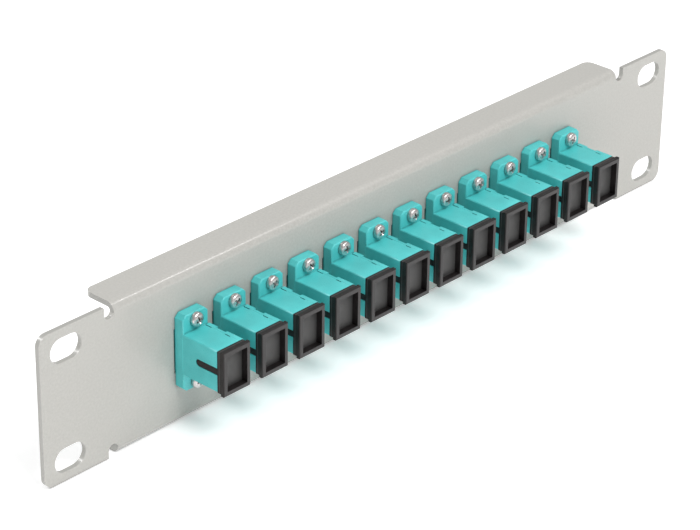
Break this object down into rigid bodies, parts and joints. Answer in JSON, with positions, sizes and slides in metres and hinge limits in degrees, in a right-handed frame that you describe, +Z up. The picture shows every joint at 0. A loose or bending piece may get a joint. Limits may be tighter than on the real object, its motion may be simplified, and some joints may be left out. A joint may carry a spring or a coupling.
{
  "type": "fibre patch panel",
  "caption": "Slim rack-mount fibre patch panel: folded grey steel plate with slotted ears, a row of aqua SC simplex adapters and black dust caps.",
  "frame": {"origin": "centre of the four rack slots, on the front face of the panel", "axes": "+X along the panel as seen from the front, +Y to the rear, into the rack, +Z up"},
  "size_m": [0.254, 0.0337, 0.044],
  "materials": {
    "powder_coat": "fine textured light grey powder coat",
    "adapter_plastic": "aqua moulded plastic, satin",
    "cap_plastic": "black soft plastic, matte",
    "holder_plastic": "natural white moulded plastic",
    "sleeve_ceramic": "polished white ceramic",
    "screw_nickel": "bright nickel plate"
  },
  "bodies": {
    "root": {"panel": "powder_coat", "adapter_housing_01": "adapter_plastic", "adapter_housing_02": "adapter_plastic", "adapter_housing_03": "adapter_plastic", "adapter_housing_04": "adapter_plastic", "adapter_housing_05": "adapter_plastic", "adapter_housing_06": "adapter_plastic", "adapter_housing_07": "adapter_plastic", "adapter_housing_08": "adapter_plastic", "adapter_housing_09": "adapter_plastic", "adapter_housing_10": "adapter_plastic", "adapter_housing_11": "adapter_plastic", "adapter_housing_12": "adapter_plastic", "side_cover_01": "adapter_plastic", "side_cover_02": "adapter_plastic", "side_cover_03": "adapter_plastic", "side_cover_04": "adapter_plastic", "side_cover_05": "adapter_plastic", "side_cover_06": "adapter_plastic", "side_cover_07": "adapter_plastic", "side_cover_08": "adapter_plastic", "side_cover_09": "adapter_plastic", "side_cover_10": "adapter_plastic", "side_cover_11": "adapter_plastic", "side_cover_12": "adapter_plastic", "latch_holders": "holder_plastic", "split_sleeves": "sleeve_ceramic", "screws": "screw_nickel"},
    "front_cap_01": {"front_dust_cap_01": "cap_plastic"},
    "front_cap_02": {"front_dust_cap_02": "cap_plastic"},
    "front_cap_03": {"front_dust_cap_03": "cap_plastic"},
    "front_cap_04": {"front_dust_cap_04": "cap_plastic"},
    "front_cap_05": {"front_dust_cap_05": "cap_plastic"},
    "front_cap_06": {"front_dust_cap_06": "cap_plastic"},
    "front_cap_07": {"front_dust_cap_07": "cap_plastic"},
    "front_cap_08": {"front_dust_cap_08": "cap_plastic"},
    "front_cap_09": {"front_dust_cap_09": "cap_plastic"},
    "front_cap_10": {"front_dust_cap_10": "cap_plastic"},
    "front_cap_11": {"front_dust_cap_11": "cap_plastic"},
    "front_cap_12": {"front_dust_cap_12": "cap_plastic"},
    "rear_cap_01": {"rear_dust_cap_01": "cap_plastic"},
    "rear_cap_02": {"rear_dust_cap_02": "cap_plastic"},
    "rear_cap_03": {"rear_dust_cap_03": "cap_plastic"},
    "rear_cap_04": {"rear_dust_cap_04": "cap_plastic"},
    "rear_cap_05": {"rear_dust_cap_05": "cap_plastic"},
    "rear_cap_06": {"rear_dust_cap_06": "cap_plastic"},
    "rear_cap_07": {"rear_dust_cap_07": "cap_plastic"},
    "rear_cap_08": {"rear_dust_cap_08": "cap_plastic"},
    "rear_cap_09": {"rear_dust_cap_09": "cap_plastic"},
    "rear_cap_10": {"rear_dust_cap_10": "cap_plastic"},
    "rear_cap_11": {"rear_dust_cap_11": "cap_plastic"},
    "rear_cap_12": {"rear_dust_cap_12": "cap_plastic"}
  },
  "joints": [
    {"name": "front_cap_01_pull", "type": "slide", "parent": "root", "child": "front_cap_01", "axis": [0, -1, 0], "range_m": [0, 0.01]},
    {"name": "front_cap_02_pull", "type": "slide", "parent": "root", "child": "front_cap_02", "axis": [0, -1, 0], "range_m": [0, 0.01]},
    {"name": "front_cap_03_pull", "type": "slide", "parent": "root", "child": "front_cap_03", "axis": [0, -1, 0], "range_m": [0, 0.01]},
    {"name": "front_cap_04_pull", "type": "slide", "parent": "root", "child": "front_cap_04", "axis": [0, -1, 0], "range_m": [0, 0.01]},
    {"name": "front_cap_05_pull", "type": "slide", "parent": "root", "child": "front_cap_05", "axis": [0, -1, 0], "range_m": [0, 0.01]},
    {"name": "front_cap_06_pull", "type": "slide", "parent": "root", "child": "front_cap_06", "axis": [0, -1, 0], "range_m": [0, 0.01]},
    {"name": "front_cap_07_pull", "type": "slide", "parent": "root", "child": "front_cap_07", "axis": [0, -1, 0], "range_m": [0, 0.01]},
    {"name": "front_cap_08_pull", "type": "slide", "parent": "root", "child": "front_cap_08", "axis": [0, -1, 0], "range_m": [0, 0.01]},
    {"name": "front_cap_09_pull", "type": "slide", "parent": "root", "child": "front_cap_09", "axis": [0, -1, 0], "range_m": [0, 0.01]},
    {"name": "front_cap_10_pull", "type": "slide", "parent": "root", "child": "front_cap_10", "axis": [0, -1, 0], "range_m": [0, 0.01]},
    {"name": "front_cap_11_pull", "type": "slide", "parent": "root", "child": "front_cap_11", "axis": [0, -1, 0], "range_m": [0, 0.01]},
    {"name": "front_cap_12_pull", "type": "slide", "parent": "root", "child": "front_cap_12", "axis": [0, -1, 0], "range_m": [0, 0.01]},
    {"name": "rear_cap_01_pull", "type": "slide", "parent": "root", "child": "rear_cap_01", "axis": [0, 1, 0], "range_m": [0, 0.01]},
    {"name": "rear_cap_02_pull", "type": "slide", "parent": "root", "child": "rear_cap_02", "axis": [0, 1, 0], "range_m": [0, 0.01]},
    {"name": "rear_cap_03_pull", "type": "slide", "parent": "root", "child": "rear_cap_03", "axis": [0, 1, 0], "range_m": [0, 0.01]},
    {"name": "rear_cap_04_pull", "type": "slide", "parent": "root", "child": "rear_cap_04", "axis": [0, 1, 0], "range_m": [0, 0.01]},
    {"name": "rear_cap_05_pull", "type": "slide", "parent": "root", "child": "rear_cap_05", "axis": [0, 1, 0], "range_m": [0, 0.01]},
    {"name": "rear_cap_06_pull", "type": "slide", "parent": "root", "child": "rear_cap_06", "axis": [0, 1, 0], "range_m": [0, 0.01]},
    {"name": "rear_cap_07_pull", "type": "slide", "parent": "root", "child": "rear_cap_07", "axis": [0, 1, 0], "range_m": [0, 0.01]},
    {"name": "rear_cap_08_pull", "type": "slide", "parent": "root", "child": "rear_cap_08", "axis": [0, 1, 0], "range_m": [0, 0.01]},
    {"name": "rear_cap_09_pull", "type": "slide", "parent": "root", "child": "rear_cap_09", "axis": [0, 1, 0], "range_m": [0, 0.01]},
    {"name": "rear_cap_10_pull", "type": "slide", "parent": "root", "child": "rear_cap_10", "axis": [0, 1, 0], "range_m": [0, 0.01]},
    {"name": "rear_cap_11_pull", "type": "slide", "parent": "root", "child": "rear_cap_11", "axis": [0, 1, 0], "range_m": [0, 0.01]},
    {"name": "rear_cap_12_pull", "type": "slide", "parent": "root", "child": "rear_cap_12", "axis": [0, 1, 0], "range_m": [0, 0.01]}
  ]
}
